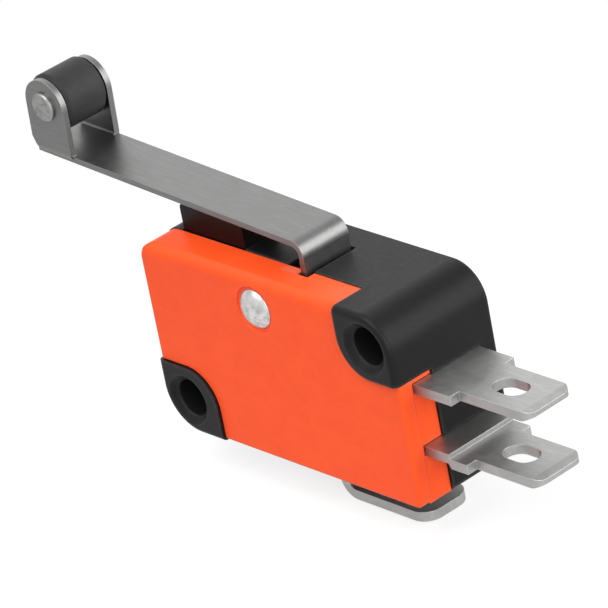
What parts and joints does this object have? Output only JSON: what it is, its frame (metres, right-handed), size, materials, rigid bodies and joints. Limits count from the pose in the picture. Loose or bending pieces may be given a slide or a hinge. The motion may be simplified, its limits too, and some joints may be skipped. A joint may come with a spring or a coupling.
{
  "type": "lever micro switch",
  "caption": "Snap-action switch with a hinged roller lever, a sprung plunger, quick-connect terminals and through holes for fastening.",
  "frame": {"origin": "on the axis of the lower mounting hole, halfway through the body", "axes": "+X along the body from the plunger's end towards the side terminals, -Y out of the front face with the cover, +Z from the body towards the lever"},
  "size_m": [0.0521, 0.0107, 0.0294],
  "materials": {
    "case_black": "moulded, satin",
    "cover_orange": "moulded, semi-gloss",
    "plunger_red": "moulded, smooth",
    "roller_black": "moulded, smooth",
    "lever_steel": "bright rolled stainless",
    "rivet_steel": "plated, satin",
    "spring_steel": "drawn wire",
    "terminal_tin": "tinned brass, satin",
    "bronze": "rolled spring bronze",
    "contact_silver": "silver alloy, satin"
  },
  "bodies": {
    "housing": {"case": "case_black", "cover": "cover_orange", "cover_rivet": "rivet_steel", "hinge_pin": "rivet_steel", "plunger_spring": "spring_steel", "snap_spring": "spring_steel", "pivot_bracket": "bronze", "com_terminal": "terminal_tin", "no_terminal": "terminal_tin", "nc_terminal": "terminal_tin", "no_contact": "contact_silver", "nc_contact": "contact_silver", "front_bracket_rivet": "rivet_steel", "back_bracket_rivet": "rivet_steel"},
    "lever": {"lever": "lever_steel", "roller_axle": "rivet_steel"},
    "roller": {"roller": "roller_black"},
    "plunger": {"plunger": "plunger_red"},
    "contact_arm": {"contact_arm": "bronze", "moving_contact": "contact_silver"}
  },
  "joints": [
    {"name": "lever_hinge", "type": "hinge", "parent": "housing", "child": "lever", "pos_m": [0.0126, 0, 0.0117], "axis": [0, -1, 0], "range_deg": [0, 6.2], "stiffness_Nm_per_rad": 0.12, "springref_deg": -14.32},
    {"name": "plunger_slide", "type": "slide", "parent": "housing", "child": "plunger", "axis": [0, 0, -1], "range_m": [0, 0.00112], "deforming": ["plunger_spring", "snap_spring"]},
    {"name": "contact_arm_rock", "type": "hinge", "parent": "housing", "child": "contact_arm", "pos_m": [0.0071, 0, 0.00495], "axis": [0, 1, 0], "range_deg": [0, 2.8]},
    {"name": "roller_spin", "type": "hinge", "parent": "lever", "child": "roller", "pos_m": [-0.01395, 0, 0.02095], "axis": [0, 1, 0], "continuous": true}
  ],
  "couplings": [
    {"joint": "plunger_slide", "follows": "lever_hinge", "m_per_rad": 0.01},
    {"joint": "contact_arm_rock", "follows": "lever_hinge", "ratio": 0.4515}
  ]
}
